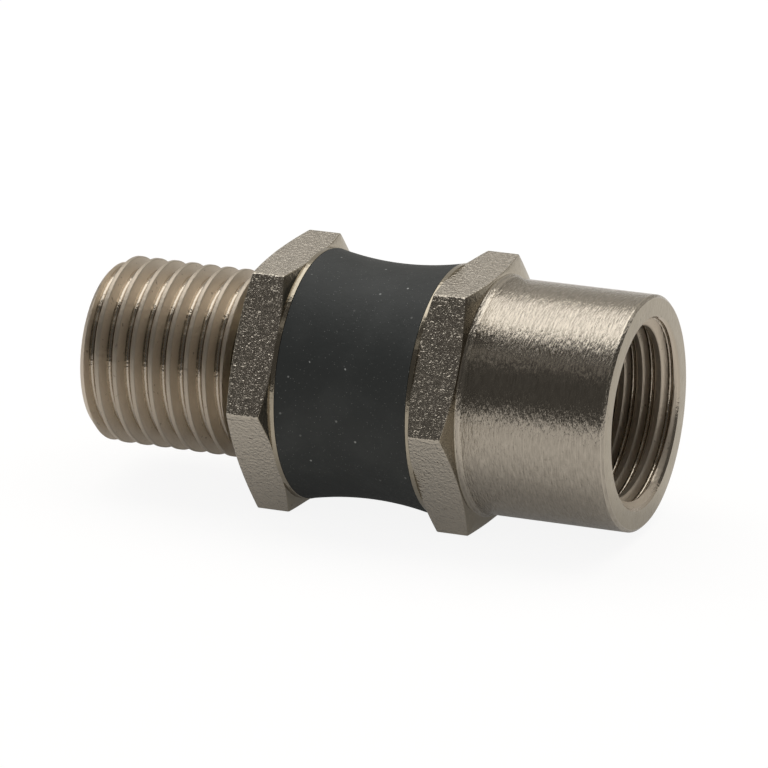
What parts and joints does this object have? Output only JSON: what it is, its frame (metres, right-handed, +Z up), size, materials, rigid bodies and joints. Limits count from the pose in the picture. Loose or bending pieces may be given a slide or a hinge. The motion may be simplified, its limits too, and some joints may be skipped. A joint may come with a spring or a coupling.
{
  "type": "rubber expansion joint",
  "caption": "Short threaded pipe connector with a waisted black rubber body moulded between a hexagon with a male thread and a hexagon with a female threaded sleeve.",
  "frame": {"origin": "on the flow axis, at the middle of the whole length", "axes": "+X along the flow axis from the male thread to the female thread; +Z up, square to a pair of flats on both hexagons; the hexagon corners point to +Y and -Y"},
  "size_m": [0.0392, 0.0196, 0.0174],
  "materials": {
    "nickel_plated_brass": "dull nickel plating over turned and bar-drawn brass",
    "cover_rubber": "matt moulded",
    "liner_rubber": "smooth moulded",
    "carcass_fabric": "square woven cord, rubberised",
    "bead_wire": "drawn wire"
  },
  "bodies": {
    "male_end": {"male_end_fitting": "nickel_plated_brass", "male_bead_ring": "bead_wire"},
    "liner": {"rubber_liner": "liner_rubber"},
    "inner_ply": {"inner_fabric_ply": "carcass_fabric"},
    "outer_ply": {"outer_fabric_ply": "carcass_fabric"},
    "cover": {"rubber_cover": "cover_rubber"},
    "bead": {"female_bead_ring": "bead_wire"},
    "female_end": {"female_end_fitting": "nickel_plated_brass"}
  },
  "joints": [
    {"name": "angular_y", "type": "hinge", "parent": "male_end", "child": "liner", "pos_m": [-0.00175, 0, 0], "axis": [0, 1, 0], "range_deg": [-3, 3], "stiffness_Nm_per_rad": 0.3, "deforming": ["rubber_liner"]},
    {"name": "lateral_y", "type": "slide", "parent": "liner", "child": "inner_ply", "axis": [0, 1, 0], "range_m": [-0.00035, 0.00035], "stiffness_N_per_m": 5000, "deforming": ["inner_fabric_ply"]},
    {"name": "axial", "type": "slide", "parent": "inner_ply", "child": "outer_ply", "axis": [1, 0, 0], "range_m": [-0.0007, 0.0004], "stiffness_N_per_m": 5000, "deforming": ["outer_fabric_ply"]},
    {"name": "lateral_z", "type": "slide", "parent": "outer_ply", "child": "cover", "axis": [0, 0, 1], "range_m": [-0.00035, 0.00035], "stiffness_N_per_m": 5000, "deforming": ["rubber_cover"]},
    {"name": "angular_z", "type": "hinge", "parent": "cover", "child": "bead", "pos_m": [0.00348, 0, 0], "axis": [0, 0, 1], "range_deg": [-3, 3], "stiffness_Nm_per_rad": 0.3},
    {"name": "torsion", "type": "hinge", "parent": "bead", "child": "female_end", "pos_m": [0.0045, 0, 0], "axis": [1, 0, 0], "range_deg": [-3, 3], "stiffness_Nm_per_rad": 0.3}
  ]
}
